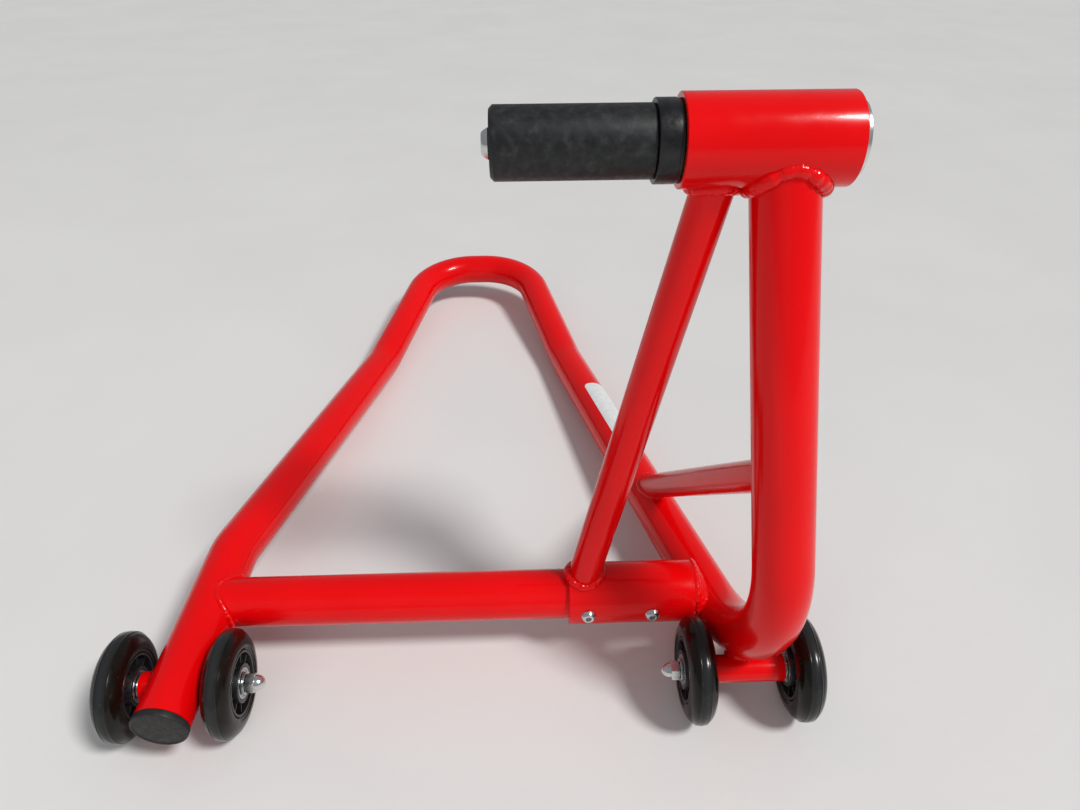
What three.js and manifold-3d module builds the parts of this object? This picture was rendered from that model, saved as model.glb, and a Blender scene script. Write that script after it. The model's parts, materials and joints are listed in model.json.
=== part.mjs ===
// Single-sided rear paddock stand: a bent steel tube frame on four small wheels, with a turning pin
// that goes into a machine's hollow wheel axle and lifts it as the handle is pressed to the floor.
// Millimetres, +Z up. +X runs along the wheel axles and the pin, +Y from the wheels to the handle.
import * as THREE from "three";
import { mergeVertices } from "three/addons/utils/BufferGeometryUtils.js";
import Module from "manifold-3d";

const wasm = await Module();
wasm.setup();

// Clearances
const GAP = 0.3;
const PAST = 1;
const MERGE_WITHIN = 1e-4;

// Wheels and their axles
const WHEEL_DIAMETER = 78;
const WHEEL_WIDTH = 20;
const TREAD = { round: 12, steps: 8 };
const HUB = { diameter: 46, rimWall: 2, dish: 3, bossWall: 2.5, shoulder: 1.5 };
const BEARING = { diameter: 22, width: 7 };
const SPACER_WALL = 2;
const AXLE_DIAMETER = 8;
const WASHER = { diameter: 16, thickness: 1.6 };
const AXLE_HEX = 13;
const AXLE_HEAD_HEIGHT = 5.3;
const ACORN_NUT = { hexHeight: 6.5, domeInset: 1, domeHeight: 6.5, threadPast: 2 };
const AXLE_TUBE_DIAMETER = 20;
const AXLE_HEIGHT = WHEEL_DIAMETER / 2;
const WHEEL_PAIRS = [
  { side: "left", wheels: { outer: -286.5, inner: -213 } },
  { side: "right", wheels: { inner: 122.5, outer: 198 } },
];

// Along the X axis from the middle of a wheel to the face of its inner or outer washer
const WASHER_FACE = WHEEL_WIDTH / 2 + GAP;
const AXLE_END_FACE = WASHER_FACE + WASHER.thickness + GAP;

// Frame tubes: outside diameters and walls
const MAIN_TUBE = { diameter: 38, wall: 2 };
const SLEEVE_TUBE = { diameter: 47, wall: 4.1 };
const BRACE_TUBE = { diameter: 24, wall: 2 };
const STRUT_TUBE = { diameter: 22, wall: 2 };
const HEAD_TUBE = { diameter: 48.6, wall: 3.3 };

// How finely round shapes are faceted
const BEND_STEP = THREE.MathUtils.degToRad(13);
const MAIN_SIDES = 24;
const BORE_SIDES = 14;
const SMALL_SIDES = 20;
const HEAD_SIDES = 32;
const TYRE_SIDES = 30;
const RING_SIDES = 16;
const THREAD_SIDES = 12;
const DOME_RINGS = 8;
const HEX_SIDES = 6;

// Handle: a hairpin that is symmetric about HANDLE_X and touches the floor at its two lowest bends
const HANDLE_X = -56;
const HANDLE_END = { halfWidth: 65.5, y: 683, z: 43, bend: 72 };
const HANDLE_LOW = { halfWidth: 112, y: 471, z: MAIN_TUBE.diameter / 2, bend: 150 };

// Main tube's other corners: its capped end, the bend behind it, and the elbow below the upright
const CAP_END = { x: -246, y: -36.5, z: 48 };
const LEFT_BEND = { x: -238, y: 113.7, z: 57.4, bend: 88 };
const ELBOW = { x: 170.5, y: -47.5, z: 50, bend: 92 };
const UPRIGHT_TOP_X = 140.3;

// Head, crossbar and braces
const HEAD = { y: 54, z: 402.7, from: 84.5, to: 174 };
const CROSSBAR = { y: 63, z: 53, from: -237, to: 126 };
const SLEEVE_SPAN = { from: 33, to: 136 };
const BRACE_FOOT_X = 41;
const BRACE_TOP_X = 110.6;
const STRUT_ALONG_LEG = 0.493;
const STRUT_HEIGHT = 221;

// Pin assembly
const PIN_SHAFT = { diameter: 20, from: -11 };
const PIN_SLEEVE = { diameter: 38, from: -13.5, to: 71, chamfer: 2 };
const PIN_COLLAR = { diameter: 43, chamfer: 0.8 };
const BUSH_LENGTH = 22;
const END_SCREW = { diameter: 8, head: 16, headHeight: 4, length: 24 };
const END_WASHER = { diameter: 40, thickness: 3.2 };

// Crossbar fixing screws
const FIX_SCREW = { diameter: 6, head: 11.2, headHeight: 3.4, length: 16 };
const FIX_SCREW_X = [47.5, 96];
const FIX_NUT = { hex: 10, height: 5, lift: 3 * GAP };

// End cap and label
const CAP = { flange: 5, flangeDiameter: 38.6, plugLength: 16, plugWall: 2.5 };
const LABEL_STEPS = 10;
const LABEL = { length: 116, spread: 1.65, turn: 1.12, thickness: 0.4, alongLeg: 0.186 };

const FINISH = {
  redPaint: { color: 0xd9060b, roughness: 0.18, metalness: 0.1 },
  blackNylon: { color: 0x1d1d1f, roughness: 0.6, metalness: 0 },
  collarPlastic: { color: 0x151516, roughness: 0.35, metalness: 0 },
  capPlastic: { color: 0x242322, roughness: 0.5, metalness: 0 },
  urethane: { color: 0x26241f, roughness: 0.15, metalness: 0 },
  hubPlastic: { color: 0x0e0e0f, roughness: 0.45, metalness: 0 },
  zinc: { color: 0xc4c6c6, roughness: 0.3, metalness: 0.9 },
  steel: { color: 0x9c9ea0, roughness: 0.35, metalness: 0.9 },
  bronze: { color: 0xa5763c, roughness: 0.45, metalness: 0.8 },
  label: { color: 0xe9e7e2, roughness: 0.5, metalness: 0 },
};

const stand = new THREE.Group();

function vec(x, y, z) {
  return new THREE.Vector3(x, y, z);
}

function addNode(name, geometry, finish) {
  const mesh = new THREE.Mesh(geometry, new THREE.MeshStandardMaterial(FINISH[finish]));
  mesh.name = name;
  stand.add(mesh);
}

// A closed geometry as a solid that can be joined and cut.
function solidOf(geometry) {
  const bare = geometry.clone();
  bare.deleteAttribute("normal");
  bare.deleteAttribute("uv");
  const merged = mergeVertices(bare, MERGE_WITHIN);
  const vertProperties = new Float32Array(merged.attributes.position.array);
  const triVerts = new Uint32Array(merged.index.array);
  return new wasm.Manifold(new wasm.Mesh({ numProp: 3, vertProperties, triVerts }));
}

function geometryOf(body) {
  const { vertProperties, triVerts } = body.getMesh();
  const geometry = new THREE.BufferGeometry();
  geometry.setAttribute("position", new THREE.BufferAttribute(vertProperties, 3));
  geometry.setIndex(new THREE.BufferAttribute(triVerts, 1));
  return geometry;
}

// A rod between two points.
function rod(from, to, diameter, sides = MAIN_SIDES) {
  const along = to.clone().sub(from);
  const geometry = new THREE.CylinderGeometry(diameter / 2, diameter / 2, along.length(), sides);
  geometry.applyQuaternion(new THREE.Quaternion().setFromUnitVectors(vec(0, 1, 0), along.normalize()));
  geometry.translate(...from.clone().lerp(to, 0.5).toArray());
  return solidOf(geometry);
}

// The same rod, made longer at both ends, as a drill for an open bore.
function drill(from, to, diameter, sides = BORE_SIDES) {
  const along = to.clone().sub(from).setLength(PAST);
  return rod(from.clone().sub(along), to.clone().add(along), diameter, sides);
}

function pipe(from, to, tube, sides = MAIN_SIDES) {
  const bore = drill(from, to, tube.diameter - 2 * tube.wall, sides);
  return rod(from, to, tube.diameter, sides).subtract(bore);
}

// A ring turned about the X axis through (y, z): its profile is a closed list of [x, radius].
function turnedRing(profile, y, z, sides) {
  const closed = [...profile, profile[0]].map(([x, radius]) => new THREE.Vector2(radius, x));
  const geometry = new THREE.LatheGeometry(closed, sides);
  geometry.rotateZ(-Math.PI / 2);
  geometry.translate(0, y, z);
  return solidOf(geometry);
}

function plainRing(from, to, outer, inner, y, z, sides = SMALL_SIDES) {
  const profile = [
    [from, outer / 2],
    [to, outer / 2],
    [to, inner / 2],
    [from, inner / 2],
  ];
  return turnedRing(profile, y, z, sides);
}

function acrossCorners(acrossFlats) {
  return acrossFlats / Math.cos(Math.PI / HEX_SIDES);
}

// A hexagonal prism between two points, measured across its flats.
function hexPrism(from, to, acrossFlats) {
  return rod(from, to, acrossCorners(acrossFlats), HEX_SIDES);
}

// A low dome on a flat base, facing the given way.
function dome(base, facing, diameter, height) {
  const geometry = new THREE.SphereGeometry(diameter / 2, THREAD_SIDES, DOME_RINGS);
  geometry.scale(1, (2 * height) / diameter, 1);
  geometry.applyQuaternion(new THREE.Quaternion().setFromUnitVectors(vec(0, 1, 0), facing));
  geometry.translate(...base.toArray());
  const behind = rod(base.clone().addScaledVector(facing, -diameter), base, 2 * diameter, THREAD_SIDES);
  return solidOf(geometry).subtract(behind);
}

// One bend of a tube's centreline.
class Bend extends THREE.Curve {
  constructor(corner, back, on, radius) {
    super();
    const half = back.angleTo(on) / 2;
    const inward = back.clone().add(on).normalize();
    this.start = corner.clone().addScaledVector(back, radius / Math.tan(half));
    this.end = corner.clone().addScaledVector(on, radius / Math.tan(half));
    this.centre = corner.clone().addScaledVector(inward, radius / Math.sin(half));
    this.spoke = this.start.clone().sub(this.centre);
    this.heading = back.clone().multiplyScalar(-radius);
    this.sweep = Math.PI - 2 * half;
  }

  getPoint(t) {
    const point = this.centre.clone().addScaledVector(this.spoke, Math.cos(t * this.sweep));
    return point.addScaledVector(this.heading, Math.sin(t * this.sweep));
  }
}

// A bent tube's centreline: straights and bends, with one step to a straight and several to a bend.
class BentRun extends THREE.Curve {
  constructor(corners) {
    super();
    this.spans = [];
    let from = corners[0].at;
    for (let i = 1; i < corners.length - 1; i++) {
      const { at, bend } = corners[i];
      const back = corners[i - 1].at.clone().sub(at).normalize();
      const on = corners[i + 1].at.clone().sub(at).normalize();
      const arc = new Bend(at, back, on, bend);
      this.addSpans(new THREE.LineCurve3(from, arc.start), 1);
      this.addSpans(arc, Math.max(2, Math.ceil(arc.sweep / BEND_STEP)));
      from = arc.end;
    }
    this.addSpans(new THREE.LineCurve3(from, corners.at(-1).at), 1);
  }

  addSpans(curve, count) {
    for (let i = 0; i < count; i++) this.spans.push({ curve, first: i / count, last: (i + 1) / count });
  }

  getPoint(t) {
    const place = t * this.spans.length;
    const index = Math.min(Math.floor(place), this.spans.length - 1);
    const { curve, first, last } = this.spans[index];
    return curve.getPoint(THREE.MathUtils.lerp(first, last, place - index));
  }

  getUtoTmapping(u) {
    return u;
  }
}

function sweptRod(run, diameter, sides) {
  const outline = [];
  for (let i = 0; i < sides; i++) {
    const angle = (i / sides) * 2 * Math.PI;
    outline.push(new THREE.Vector2(Math.cos(angle), Math.sin(angle)).multiplyScalar(diameter / 2));
  }
  const options = { extrudePath: run, steps: run.spans.length };
  return solidOf(new THREE.ExtrudeGeometry(new THREE.Shape(outline), options));
}

// Main tube: capped end over the left axle, left leg, handle, right leg, elbow and upright
const capEnd = vec(CAP_END.x, CAP_END.y, CAP_END.z);
const leftBend = vec(LEFT_BEND.x, LEFT_BEND.y, LEFT_BEND.z);
const elbow = vec(ELBOW.x, ELBOW.y, ELBOW.z);
const headCentre = vec(UPRIGHT_TOP_X, HEAD.y, HEAD.z);
const leftLow = vec(HANDLE_X - HANDLE_LOW.halfWidth, HANDLE_LOW.y, HANDLE_LOW.z);
const rightLow = vec(HANDLE_X + HANDLE_LOW.halfWidth, HANDLE_LOW.y, HANDLE_LOW.z);
const leftEnd = vec(HANDLE_X - HANDLE_END.halfWidth, HANDLE_END.y, HANDLE_END.z);
const rightEnd = vec(HANDLE_X + HANDLE_END.halfWidth, HANDLE_END.y, HANDLE_END.z);

function mainRun(start) {
  return new BentRun([
    { at: start },
    { at: leftBend, bend: LEFT_BEND.bend },
    { at: leftLow, bend: HANDLE_LOW.bend },
    { at: leftEnd, bend: HANDLE_END.bend },
    { at: rightEnd, bend: HANDLE_END.bend },
    { at: rightLow, bend: HANDLE_LOW.bend },
    { at: elbow, bend: ELBOW.bend },
    { at: headCentre },
  ]);
}

const capFacing = capEnd.clone().sub(leftBend).normalize();
const mainClearance = sweptRod(mainRun(capEnd), MAIN_TUBE.diameter + 2 * GAP, MAIN_SIDES);
const headFrom = vec(HEAD.from, HEAD.y, HEAD.z);
const headTo = vec(HEAD.to, HEAD.y, HEAD.z);
const headClearance = rod(headFrom, headTo, HEAD_TUBE.diameter + 2 * GAP, HEAD_SIDES);

function axleTubeSpan(pair) {
  const xs = Object.values(pair.wheels).sort((a, b) => a - b);
  return [xs[0] + AXLE_END_FACE, xs[1] - AXLE_END_FACE];
}

function makeMainTube() {
  const opened = capEnd.clone().addScaledVector(capFacing, PAST);
  const bore = sweptRod(mainRun(opened), MAIN_TUBE.diameter - 2 * MAIN_TUBE.wall, BORE_SIDES);
  const [axleFrom, axleTo] = axleTubeSpan(WHEEL_PAIRS[0]).map((x) => vec(x, 0, AXLE_HEIGHT));
  const axleHole = drill(axleFrom, axleTo, AXLE_TUBE_DIAMETER + 2 * GAP, MAIN_SIDES);
  const tube = sweptRod(mainRun(capEnd), MAIN_TUBE.diameter, MAIN_SIDES).subtract(bore);
  addNode("main_tube", geometryOf(tube.subtract(headClearance).subtract(axleHole)), "redPaint");
}

function makeAxleTubes() {
  for (const pair of WHEEL_PAIRS) {
    const [from, to] = axleTubeSpan(pair);
    const ring = plainRing(from, to, AXLE_TUBE_DIAMETER, AXLE_DIAMETER + 2 * GAP, 0, AXLE_HEIGHT);
    addNode(`${pair.side}_axle_tube`, geometryOf(ring), "redPaint");
  }
}

// Crossbar, the sleeve it is bolted into, and their two screws with nuts inside the bar
function fixScrewDrill(x) {
  const front = vec(x, CROSSBAR.y - SLEEVE_TUBE.diameter, CROSSBAR.z);
  return drill(front, vec(x, CROSSBAR.y, CROSSBAR.z), FIX_SCREW.diameter + 2 * GAP, THREAD_SIDES);
}

function makeCrossbar() {
  const barFrom = vec(CROSSBAR.from, CROSSBAR.y, CROSSBAR.z);
  const barTo = vec(CROSSBAR.to, CROSSBAR.y, CROSSBAR.z);
  let bar = pipe(barFrom, barTo, MAIN_TUBE).subtract(mainClearance);
  const sleeveFrom = vec(SLEEVE_SPAN.from, CROSSBAR.y, CROSSBAR.z);
  const sleeveTo = vec(SLEEVE_SPAN.to, CROSSBAR.y, CROSSBAR.z);
  let sleeve = pipe(sleeveFrom, sleeveTo, SLEEVE_TUBE).subtract(mainClearance);
  for (const x of FIX_SCREW_X) {
    bar = bar.subtract(fixScrewDrill(x));
    sleeve = sleeve.subtract(fixScrewDrill(x));
  }
  addNode("crossbar_tube", geometryOf(largestBody(bar)), "redPaint");
  addNode("crossbar_sleeve", geometryOf(largestBody(sleeve)), "redPaint");
}

// The piece that is kept where a saddle cut leaves offcuts.
function largestBody(body) {
  return body.decompose().reduce((best, piece) => (piece.volume() > best.volume() ? piece : best));
}

function makeFixScrews() {
  const front = vec(0, -1, 0);
  const seat = CROSSBAR.y - SLEEVE_TUBE.diameter / 2 - GAP;
  const boreRadius = MAIN_TUBE.diameter / 2 - MAIN_TUBE.wall;
  const nutCorner = acrossCorners(FIX_NUT.hex) / 2;
  const nutSeat = CROSSBAR.y - Math.sqrt(boreRadius ** 2 - nutCorner ** 2) + FIX_NUT.lift;
  FIX_SCREW_X.forEach((x, i) => {
    const under = vec(x, seat, CROSSBAR.z);
    const tip = vec(x, seat + FIX_SCREW.length, CROSSBAR.z);
    const shank = rod(under, tip, FIX_SCREW.diameter, THREAD_SIDES);
    const head = dome(under, front, FIX_SCREW.head, FIX_SCREW.headHeight);
    addNode(`sleeve_screw_${i + 1}`, geometryOf(shank.add(head)), "zinc");
    const nutFrom = vec(x, nutSeat, CROSSBAR.z);
    const nutTo = vec(x, nutSeat + FIX_NUT.height, CROSSBAR.z);
    const nut = hexPrism(nutFrom, nutTo, FIX_NUT.hex);
    const bored = nut.subtract(drill(nutFrom, nutTo, FIX_SCREW.diameter + 2 * GAP, THREAD_SIDES));
    addNode(`sleeve_nut_${i + 1}`, geometryOf(bored), "zinc");
  });
}

// Brace from the sleeve to the head, and strut from the right leg to the upright
function makeBraces() {
  const foot = vec(BRACE_FOOT_X, CROSSBAR.y, CROSSBAR.z);
  const top = vec(BRACE_TOP_X, HEAD.y, HEAD.z);
  const sleeveClearance = rod(
    vec(SLEEVE_SPAN.from, CROSSBAR.y, CROSSBAR.z),
    vec(SLEEVE_SPAN.to, CROSSBAR.y, CROSSBAR.z),
    SLEEVE_TUBE.diameter + 2 * GAP,
  );
  const brace = pipe(foot, top, BRACE_TUBE, SMALL_SIDES).subtract(sleeveClearance).subtract(headClearance);
  addNode("brace_tube", geometryOf(largestBody(brace)), "redPaint");
  const onLeg = elbow.clone().lerp(rightLow, STRUT_ALONG_LEG);
  const rise = (STRUT_HEIGHT - elbow.z) / (headCentre.z - elbow.z);
  const onUpright = elbow.clone().lerp(headCentre, rise);
  const strut = pipe(onLeg, onUpright, STRUT_TUBE, SMALL_SIDES).subtract(mainClearance);
  addNode("support_strut", geometryOf(largestBody(strut)), "redPaint");
}

// Head tube with a bush in each end
function makeHead() {
  const bore = HEAD_TUBE.diameter - 2 * HEAD_TUBE.wall;
  const tube = plainRing(HEAD.from, HEAD.to, HEAD_TUBE.diameter, bore, HEAD.y, HEAD.z, HEAD_SIDES);
  addNode("head_tube", geometryOf(tube), "redPaint");
  const bushFroms = { left: HEAD.from, right: HEAD.to - BUSH_LENGTH };
  for (const [side, from] of Object.entries(bushFroms)) {
    const outer = bore - 2 * GAP;
    const inner = PIN_SHAFT.diameter + 2 * GAP;
    const bush = plainRing(from, from + BUSH_LENGTH, outer, inner, HEAD.y, HEAD.z);
    addNode(`${side}_head_bush`, geometryOf(bush), "bronze");
  }
}

function endScrew(seat, facing) {
  const under = vec(seat, HEAD.y, HEAD.z);
  const along = vec(facing, 0, 0);
  const tip = under.clone().addScaledVector(along, -END_SCREW.length);
  const shank = rod(tip, under, END_SCREW.diameter, THREAD_SIDES);
  return shank.add(dome(under, along, END_SCREW.head, END_SCREW.headHeight));
}

// Turning pin: a steel shaft with a tapped hole in each end
function makePinShaft() {
  const from = vec(PIN_SHAFT.from, HEAD.y, HEAD.z);
  const to = vec(HEAD.to - GAP, HEAD.y, HEAD.z);
  const tapDepth = vec(END_SCREW.length + PAST, 0, 0);
  const leftTap = drill(from, from.clone().add(tapDepth), END_SCREW.diameter + 2 * GAP, THREAD_SIDES);
  const rightTap = drill(to.clone().sub(tapDepth), to, END_SCREW.diameter + 2 * GAP, THREAD_SIDES);
  const shaft = rod(from, to, PIN_SHAFT.diameter).subtract(leftTap).subtract(rightTap);
  addNode("pin_shaft", geometryOf(shaft), "steel");
}

// A ring on the pin's shaft with one chamfered edge, at its free end
function makePinRing(name, from, to, { diameter, chamfer }, finish) {
  const bore = PIN_SHAFT.diameter / 2 + GAP;
  const profile = [
    [from, diameter / 2 - chamfer],
    [from + chamfer, diameter / 2],
    [to, diameter / 2],
    [to, bore],
    [from, bore],
  ];
  addNode(name, geometryOf(turnedRing(profile, HEAD.y, HEAD.z, HEAD_SIDES)), finish);
}

// The sleeve and collar that carry the machine, and the screws and washer that hold them on
function makePin() {
  makePinShaft();
  makePinRing("pin_sleeve", PIN_SLEEVE.from, PIN_SLEEVE.to, PIN_SLEEVE, "blackNylon");
  makePinRing("pin_collar", PIN_SLEEVE.to + GAP, HEAD.from - GAP, PIN_COLLAR, "collarPlastic");
  addNode("pin_tip_screw", geometryOf(endScrew(PIN_SLEEVE.from - GAP, -1)), "zinc");
  const washerFrom = HEAD.to + GAP;
  const washerTo = washerFrom + END_WASHER.thickness;
  const hole = END_SCREW.diameter + 2 * GAP;
  const washer = plainRing(washerFrom, washerTo, END_WASHER.diameter, hole, HEAD.y, HEAD.z);
  addNode("pin_end_washer", geometryOf(washer), "zinc");
  addNode("pin_end_screw", geometryOf(endScrew(washerTo + GAP, 1)), "zinc");
}

// Moulded tyre: a round tread between two flat sides
function makeTyre(name, x) {
  const half = WHEEL_WIDTH / 2;
  const rim = HUB.diameter / 2 + GAP;
  const shoulder = WHEEL_DIAMETER / 2 - TREAD.round;
  const profile = [[x - half, rim]];
  for (let i = 0; i <= TREAD.steps; i++) {
    const angle = (i / TREAD.steps) * Math.PI;
    profile.push([x - half * Math.cos(angle), shoulder + TREAD.round * Math.sin(angle)]);
  }
  profile.push([x + half, rim]);
  addNode(`${name}_tyre`, geometryOf(turnedRing(profile, 0, AXLE_HEIGHT, TYRE_SIDES)), "urethane");
}

// Hub: a dished disc with a bearing seat in each face
function makeHub(name, x) {
  const half = WHEEL_WIDTH / 2;
  const rim = HUB.diameter / 2;
  const seat = BEARING.diameter / 2 + GAP;
  const seatEnd = half - BEARING.width - GAP;
  const rightSide = [
    [half, rim],
    [half, rim - HUB.rimWall],
    [half - HUB.dish, seat + HUB.bossWall],
    [half, seat + HUB.bossWall],
    [half, seat],
    [seatEnd, seat],
    [seatEnd, seat - HUB.shoulder],
  ];
  const leftSide = rightSide.map(([along, radius]) => [-along, radius]).reverse();
  const profile = [...rightSide, ...leftSide].map(([along, radius]) => [x + along, radius]);
  addNode(`${name}_hub`, geometryOf(turnedRing(profile, 0, AXLE_HEIGHT, MAIN_SIDES)), "hubPlastic");
}

// One wheel: tyre, hub, a bearing in each face of the hub and a spacer between them
function makeWheel(name, x) {
  makeTyre(name, x);
  makeHub(name, x);
  const half = WHEEL_WIDTH / 2;
  const bore = AXLE_DIAMETER + 2 * GAP;
  const bearingFroms = { left: x - half, right: x + half - BEARING.width };
  for (const [side, from] of Object.entries(bearingFroms)) {
    const ring = plainRing(from, from + BEARING.width, BEARING.diameter, bore, 0, AXLE_HEIGHT, RING_SIDES);
    addNode(`${name}_bearing_${side}`, geometryOf(ring), "steel");
  }
  const reach = half - BEARING.width - GAP;
  const outer = AXLE_DIAMETER + 2 * SPACER_WALL;
  const spacer = plainRing(x - reach, x + reach, outer, bore, 0, AXLE_HEIGHT, RING_SIDES);
  addNode(`${name}_spacer`, geometryOf(spacer), "steel");
}

function makeWasher(name, middle) {
  const from = middle - WASHER.thickness / 2;
  const to = middle + WASHER.thickness / 2;
  const ring = plainRing(from, to, WASHER.diameter, AXLE_DIAMETER + 2 * GAP, 0, AXLE_HEIGHT, RING_SIDES);
  addNode(name, geometryOf(ring), "zinc");
}

// Axle bolt through both wheels of a pair, with a hexagon head outside and a domed nut inside
function makeAxleBolt(pair) {
  const { outer, inner } = pair.wheels;
  const outward = Math.sign(outer - inner);
  const onAxle = (x) => vec(x, 0, AXLE_HEIGHT);
  const headSeat = outer + outward * AXLE_END_FACE;
  const nutSeat = inner - outward * AXLE_END_FACE;
  const threadEnd = nutSeat - outward * (ACORN_NUT.hexHeight + ACORN_NUT.threadPast);
  const shank = rod(onAxle(threadEnd), onAxle(headSeat), AXLE_DIAMETER, THREAD_SIDES);
  const head = hexPrism(onAxle(headSeat), onAxle(headSeat + outward * AXLE_HEAD_HEIGHT), AXLE_HEX);
  addNode(`${pair.side}_axle_bolt`, geometryOf(shank.add(head)), "zinc");
  const hexEnd = onAxle(nutSeat - outward * ACORN_NUT.hexHeight);
  const hex = hexPrism(onAxle(nutSeat), hexEnd, AXLE_HEX);
  const cap = dome(hexEnd, vec(-outward, 0, 0), AXLE_HEX - ACORN_NUT.domeInset, ACORN_NUT.domeHeight);
  const blindFrom = onAxle(nutSeat + outward * PAST);
  const blind = rod(blindFrom, onAxle(threadEnd - outward * GAP), AXLE_DIAMETER + 2 * GAP, THREAD_SIDES);
  addNode(`${pair.side}_acorn_nut`, geometryOf(hex.add(cap).subtract(blind)), "zinc");
}

function makeWheels() {
  for (const pair of WHEEL_PAIRS) {
    for (const [place, x] of Object.entries(pair.wheels)) {
      const name = `${pair.side}_${place}`;
      makeWheel(name, x);
      const reach = WASHER_FACE + WASHER.thickness / 2;
      makeWasher(`${name}_washer_left`, x - reach);
      makeWasher(`${name}_washer_right`, x + reach);
    }
    makeAxleBolt(pair);
  }
}

// Plastic cap in the open end of the main tube: a flange outside and a hollow plug inside
function makeEndCap() {
  const plug = MAIN_TUBE.diameter / 2 - MAIN_TUBE.wall - 2 * GAP;
  const hollow = plug - CAP.plugWall;
  const rim = CAP.flangeDiameter / 2;
  const profile = [
    [0, -PAST],
    [hollow, -PAST],
    [hollow, -CAP.plugLength],
    [plug, -CAP.plugLength],
    [plug, 0],
    [rim, 0],
    [rim, CAP.flange],
    [0, CAP.flange],
  ].map(([radius, along]) => new THREE.Vector2(radius, along));
  const geometry = new THREE.LatheGeometry(profile, MAIN_SIDES);
  geometry.applyQuaternion(new THREE.Quaternion().setFromUnitVectors(vec(0, 1, 0), capFacing));
  geometry.translate(...capEnd.clone().addScaledVector(capFacing, GAP).toArray());
  addNode("tube_end_cap", geometryOf(solidOf(geometry)), "capPlastic");
}

// Blank label wrapped over the right leg
function makeLabel() {
  const inner = MAIN_TUBE.diameter / 2 + GAP;
  const outline = new THREE.Shape();
  outline.absarc(0, 0, inner + LABEL.thickness, -LABEL.spread / 2, LABEL.spread / 2, false);
  outline.absarc(0, 0, inner, LABEL.spread / 2, -LABEL.spread / 2, true);
  const options = { depth: LABEL.length, bevelEnabled: false, curveSegments: LABEL_STEPS };
  const geometry = new THREE.ExtrudeGeometry(outline, options);
  geometry.rotateZ(LABEL.turn);
  const along = elbow.clone().sub(rightLow).normalize();
  const side = vec(1, 0, 0).addScaledVector(along, -along.x).normalize();
  const place = new THREE.Matrix4().makeBasis(side, along.clone().cross(side), along);
  place.setPosition(rightLow.clone().lerp(elbow, LABEL.alongLeg));
  geometry.applyMatrix4(place);
  addNode("blank_label", geometry, "label");
}

makeMainTube();
makeAxleTubes();
makeCrossbar();
makeFixScrews();
makeBraces();
makeHead();
makePin();
makeWheels();
makeEndCap();
makeLabel();

// The origin is at the middle of the underside of the whole stand
const bounds = new THREE.Box3().setFromObject(stand, true);
const middle = bounds.getCenter(vec(0, 0, 0));
stand.position.set(-middle.x, -middle.y, -bounds.min.z);

export default stand;
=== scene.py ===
# %% [markdown]
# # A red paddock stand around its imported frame
# The stand is a bent steel tube on four small wheels, with a turning pin at the top of its upright. The
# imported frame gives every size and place. Each cell makes one kind of piece or one finish of it.

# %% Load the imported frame
import json
import math
import random

import bmesh
import bpy
from mathutils import Euler, Matrix, Vector
from mathutils.geometry import intersect_point_line


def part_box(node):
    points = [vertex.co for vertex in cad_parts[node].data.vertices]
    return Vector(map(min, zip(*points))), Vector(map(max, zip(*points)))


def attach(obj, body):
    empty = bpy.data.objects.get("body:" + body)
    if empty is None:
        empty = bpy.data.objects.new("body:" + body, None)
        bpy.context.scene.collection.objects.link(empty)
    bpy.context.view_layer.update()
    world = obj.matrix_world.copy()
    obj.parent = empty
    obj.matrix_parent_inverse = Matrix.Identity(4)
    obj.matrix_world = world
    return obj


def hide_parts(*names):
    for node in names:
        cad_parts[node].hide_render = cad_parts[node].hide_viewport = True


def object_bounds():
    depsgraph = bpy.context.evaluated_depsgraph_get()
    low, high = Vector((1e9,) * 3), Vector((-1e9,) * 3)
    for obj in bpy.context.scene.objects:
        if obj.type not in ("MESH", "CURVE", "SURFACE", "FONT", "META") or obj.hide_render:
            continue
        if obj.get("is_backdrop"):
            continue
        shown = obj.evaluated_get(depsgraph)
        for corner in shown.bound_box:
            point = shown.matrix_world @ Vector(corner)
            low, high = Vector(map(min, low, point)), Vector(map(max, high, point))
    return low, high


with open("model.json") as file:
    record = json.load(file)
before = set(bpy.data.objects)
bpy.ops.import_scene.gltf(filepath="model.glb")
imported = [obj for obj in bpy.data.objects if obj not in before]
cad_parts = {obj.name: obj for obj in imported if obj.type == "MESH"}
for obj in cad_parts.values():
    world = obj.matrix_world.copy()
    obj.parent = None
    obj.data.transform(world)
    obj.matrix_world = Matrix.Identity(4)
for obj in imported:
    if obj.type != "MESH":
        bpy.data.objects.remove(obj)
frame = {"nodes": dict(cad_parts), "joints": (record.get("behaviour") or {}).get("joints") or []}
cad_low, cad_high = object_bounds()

print("frame box", [round(v, 4) for v in (*cad_low, *cad_high)])

# %% [markdown]
# ## Where things are
# The wheel axles and the pin are the stand's own datum lines, so places are counted in millimetres from
# the floor below the wheel axles. The joints in the frame say where those lines are.

# %% Datum and units
MM = 0.001
JOINT_AT = {joint["name"]: Vector(joint["pos_m"]) for joint in frame["joints"]}
WHEELS = ["left_outer", "left_inner", "right_inner", "right_outer"]
LEFT_WHEEL_FROM_DATUM = -286.5
outermost = JOINT_AT["left_outer_wheel_spin"]
datum = Vector((outermost.x - LEFT_WHEEL_FROM_DATUM * MM, outermost.y, 0))
X_AXIS = Vector((1, 0, 0))


def at(x, y, z):
    return datum + Vector((x, y, z)) * MM


def size_of(node):
    low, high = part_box(node)
    return high - low


def span_x(node):
    low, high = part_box(node)
    return low.x, high.x


axle_height = outermost.z
pin_line = JOINT_AT["pin_turn"]
tyre_size = size_of("left_outer_tyre")
print("wheel diameter", round(tyre_size.y, 4), "pin height", round(pin_line.z, 4))

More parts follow.
